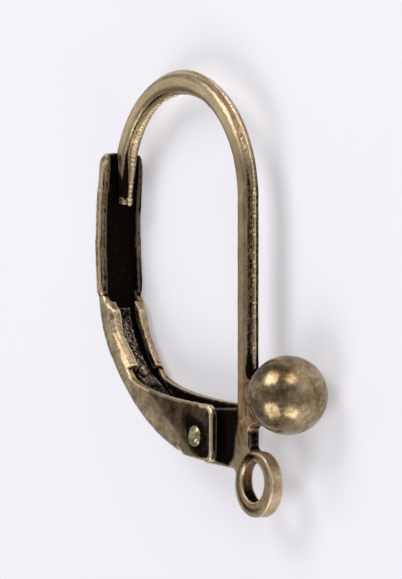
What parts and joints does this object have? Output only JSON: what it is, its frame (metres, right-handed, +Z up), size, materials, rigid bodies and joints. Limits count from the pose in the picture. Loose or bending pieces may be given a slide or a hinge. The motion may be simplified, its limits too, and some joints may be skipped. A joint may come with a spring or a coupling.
{
  "type": "leverback earring",
  "caption": "Antique brass leverback ear wire with a ball soldered to its leg, a ring below and a hinged lever with a sprung channel.",
  "frame": {"origin": "centre of the bounding box's footprint, on the surface that the earring lies on", "axes": "+Y up the earring as it is worn, from the ring to the arch; +X from the lever towards the ball; +Z up from the surface, across the hook"},
  "size_m": [0.0136, 0.0168, 0.003],
  "materials": {
    "hook_brass": "antique brass, dark in the hollows and rubbed bright on the ridges, the ball polished",
    "lever_brass": "antique brass, nearly black inside the channel, rubbed bright on the cut edges",
    "spring_bronze": "tarnished reddish bronze with bright specks",
    "rivet_brass": "pale brass, peened and rubbed bright"
  },
  "bodies": {
    "hook": {"ear_hook": "hook_brass"},
    "lever": {"lever": "lever_brass", "spring": "spring_bronze", "rivet": "rivet_brass"}
  },
  "joints": [
    {"name": "lever_hinge", "type": "hinge", "parent": "hook", "child": "lever", "pos_m": [0.00033, -0.00545, 0.00128], "axis": [-0.0444, 0, 0.999], "range_deg": [0, 75], "stiffness_Nm_per_rad": 0.0002}
  ]
}
